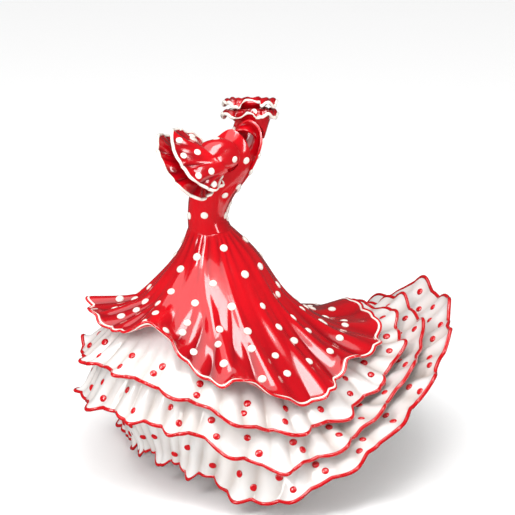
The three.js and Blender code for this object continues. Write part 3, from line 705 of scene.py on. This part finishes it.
# %% Sleeves and ruffles
BODY_MARGIN = 3.3
RUFFLE_PLACES = {
    "upper": {"at": 0.6, "tilt": 0.14, "over": (WALL + RUFFLE_WALL) / 2 + 1.5 * SEAM, "beyond": 0, "seed": 0.7},
    "lower": {"at": 1.0, "tilt": 0, "over": 0, "beyond": RUFFLE_WALL / 2 + 2 * SEAM, "seed": 2.9},
}
sleeve_shapes = {}
for side, given in SLEEVES.items():
    top, tube = given["top"], given["tube"]
    sleeve = surface_through([0, 1 / 3, 2 / 3, 1], lambda u, tube=tube, top=top: [ring_point(r, top, u) for r in tube])
    start = 0.2 if side == "left" else 0.22

    def sleeve_shape(u, v, sleeve=sleeve, start=start):
        fold = 0.5 * math.sin(math.radians(3 * u) + 5 * v) * math.sin(math.pi * v)
        w = start + (1 - start) * v
        # The second value is painted shade, darker where the fold dips in.
        return sleeve(u, w) + facing(sleeve, u, w)[0] * fold, 0.3 * (0.5 - fold)

    sleeve_shapes[side] = sleeve_shape
    cloth(f"sleeve_{side}_cloth", sleeve_shape, lambda u, v: sleeve(u, start + (1 - start) * v), 96,
          30, WALL, RED, [f"sleeve_{side}"])
    for place, how in RUFFLE_PLACES.items():
        def ruffle_points(u, sleeve=sleeve, how=how, rings=given[place], top=top):
            sewn_at = how["at"] + how["tilt"] * math.cos(math.radians(u))
            out, down = facing(sleeve, u, sewn_at)
            seam = sleeve(u, sewn_at) + out * how["over"] + down * how["beyond"]
            return [seam] + [ring_point(ring, top, u) for ring in rings]

        ruffle = surface_through([0, 0.5, 1], ruffle_points)
        hanging = dressed(ruffle, RUFFLE_FOLDS, 0.15, count=15, depth=1.3,
                          seed=how["seed"], fine_start=0.2, flick=0.25, lip=0.7)

        def ruffle_shape(u, v, hanging=hanging):
            point, valley = hanging(u, v)
            # The ruffle's painted shade in its valleys is made half as strong again.
            return clear_of_body(point, BODY_MARGIN), min(1, valley * 1.5)

        sleeve_shapes[f"{side}_{place}"] = ruffle_shape
        cloth(f"sleeve_{side}_{place}_ruffle_cloth", ruffle_shape, unpleated(ruffle, RUFFLE_FOLDS, 0.15), 180, 24,
              RUFFLE_WALL, RED,
              [f"sleeve_{side}_{place}_ruffle"])
        bead(f"sleeve_{side}_{place}_edge", ruffle_shape, 1.0, 0.4, IVORY,
             [f"sleeve_{side}_{place}_trim"], columns=180)

# %% [markdown]
# ## Dots
# Ivory dots stand on the red cloth and red dots on the white. They are set out last, on the finished shapes,
# so that each lies flat on its own fold.

# %% Dots on every layer
dots("skirt_dots", skirt_shape, [0.12, 0.27, 0.42, 0.57, 0.72, 0.86], 20, 2.5, WALL, IVORY, 11)
for seed, (name, shape) in enumerate(flounce_shapes.items()):
    dots(f"{name}_dots", shape, [0.66, 0.84], 27, 2.3, WALL, DOT_RED, 21 + seed)
dots("bodice_dots", bodice_shape, [0.12, 0.34, 0.56, 0.8], 15, 2.3, WALL, IVORY, 5,
     keep=lambda p: all((p - c).length > 10.5 for c in armholes))
for side in SLEEVES:
    dots(f"sleeve_{side}_dots", sleeve_shapes[side], [0.22], 16, 2.2, WALL, IVORY, 3)
    dots(f"sleeve_{side}_upper_dots", sleeve_shapes[f"{side}_upper"], [0.35, 0.75], 14, 2.2, RUFFLE_WALL, IVORY,
         31)

# %% [markdown]
# ## Light, floor and camera
# The studio is plain: a pale floor, a pale sky, and large soft boxes that draw long streaks on the glaze.

# %% Stage
FLOOR_GAP = 0.0015
low, high = (Vector(corner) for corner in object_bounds())
floor_mesh = bpy.data.meshes.new("floor")
bm = bmesh.new()
bmesh.ops.create_grid(bm, x_segments=1, y_segments=1, size=6)
bmesh.ops.translate(bm, verts=bm.verts, vec=(0, 0, low.z - FLOOR_GAP))
bm.to_mesh(floor_mesh)
bm.free()
floor = bpy.data.objects.new("floor", floor_mesh)
bpy.context.collection.objects.link(floor)
floor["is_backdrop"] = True
floor.visible_glossy = False
paper = bpy.data.materials.new("white paper")
paper.use_nodes = True
paper.node_tree.nodes["Principled BSDF"].inputs["Base Color"].default_value = (0.97, 0.97, 0.97, 1)
paper.node_tree.nodes["Principled BSDF"].inputs["Roughness"].default_value = 0.6
floor_mesh.materials.append(paper)

world = bpy.data.worlds.new("studio")
bpy.context.scene.world = world
world.use_nodes = True
SKY_SEEN = 1.0
SKY_LIGHT = 0.5
SKY_SHINE = 0.07
sky = world.node_tree.nodes["Background"]
sky.inputs["Color"].default_value = (1, 1, 1, 1)
path = world.node_tree.nodes.new("ShaderNodeLightPath")
sky_strength = world.node_tree.nodes.new("ShaderNodeMapRange")
sky_strength.inputs["To Min"].default_value = SKY_LIGHT
sky_strength.inputs["To Max"].default_value = SKY_SEEN
world.node_tree.links.new(path.outputs["Is Camera Ray"], sky_strength.inputs["Value"])
shine_strength = world.node_tree.nodes.new("ShaderNodeMix")
shine_strength.inputs["B"].default_value = SKY_SHINE
world.node_tree.links.new(path.outputs["Is Glossy Ray"], shine_strength.inputs["Factor"])
world.node_tree.links.new(sky_strength.outputs["Result"], shine_strength.inputs["A"])
world.node_tree.links.new(shine_strength.outputs["Result"], sky.inputs["Strength"])
bpy.context.scene.view_settings.view_transform = "Standard"


def soft_box(name, place, target, width, height, power):
    light = bpy.data.lights.new(name, "AREA")
    light.shape = "RECTANGLE"
    light.size, light.size_y, light.energy = width, height, power
    holder = bpy.data.objects.new(name, light)
    holder.location = place
    holder.rotation_euler = (Vector(target) - Vector(place)).to_track_quat("-Z", "Y").to_euler()
    bpy.context.collection.objects.link(holder)


soft_box("window left", (-0.75, -0.75, 0.6), (0, 0, -0.05), 0.3, 0.7, 8)
soft_box("window top", (0.15, -0.3, 0.95), (0, 0, -0.05), 0.5, 0.35, 4)
soft_box("window right", (0.9, -0.6, 0.35), (0, 0, -0.05), 0.15, 0.7, 3)
ceiling = bpy.data.lights.new("ceiling", "SUN")
ceiling.energy = 1.5
ceiling.angle = math.radians(70)
ceiling_holder = bpy.data.objects.new("ceiling", ceiling)
ceiling_holder.rotation_euler = (math.radians(12), math.radians(-10), 0)
bpy.context.collection.objects.link(ceiling_holder)

# %% Camera
AIM = Vector((0.0291, -0.00547, -0.01683))
BACK = Vector((0, -0.951, 0.309)).normalized()
DISTANCE = 1.5
LENS = 174.8
camera = bpy.data.cameras.new("camera")
camera.lens = LENS
camera.sensor_width = 36
eye = bpy.data.objects.new("camera", camera)
eye.location = AIM + BACK * DISTANCE
eye.rotation_euler = (-BACK).to_track_quat("-Z", "Y").to_euler()
bpy.context.collection.objects.link(eye)
bpy.context.scene.camera = eye
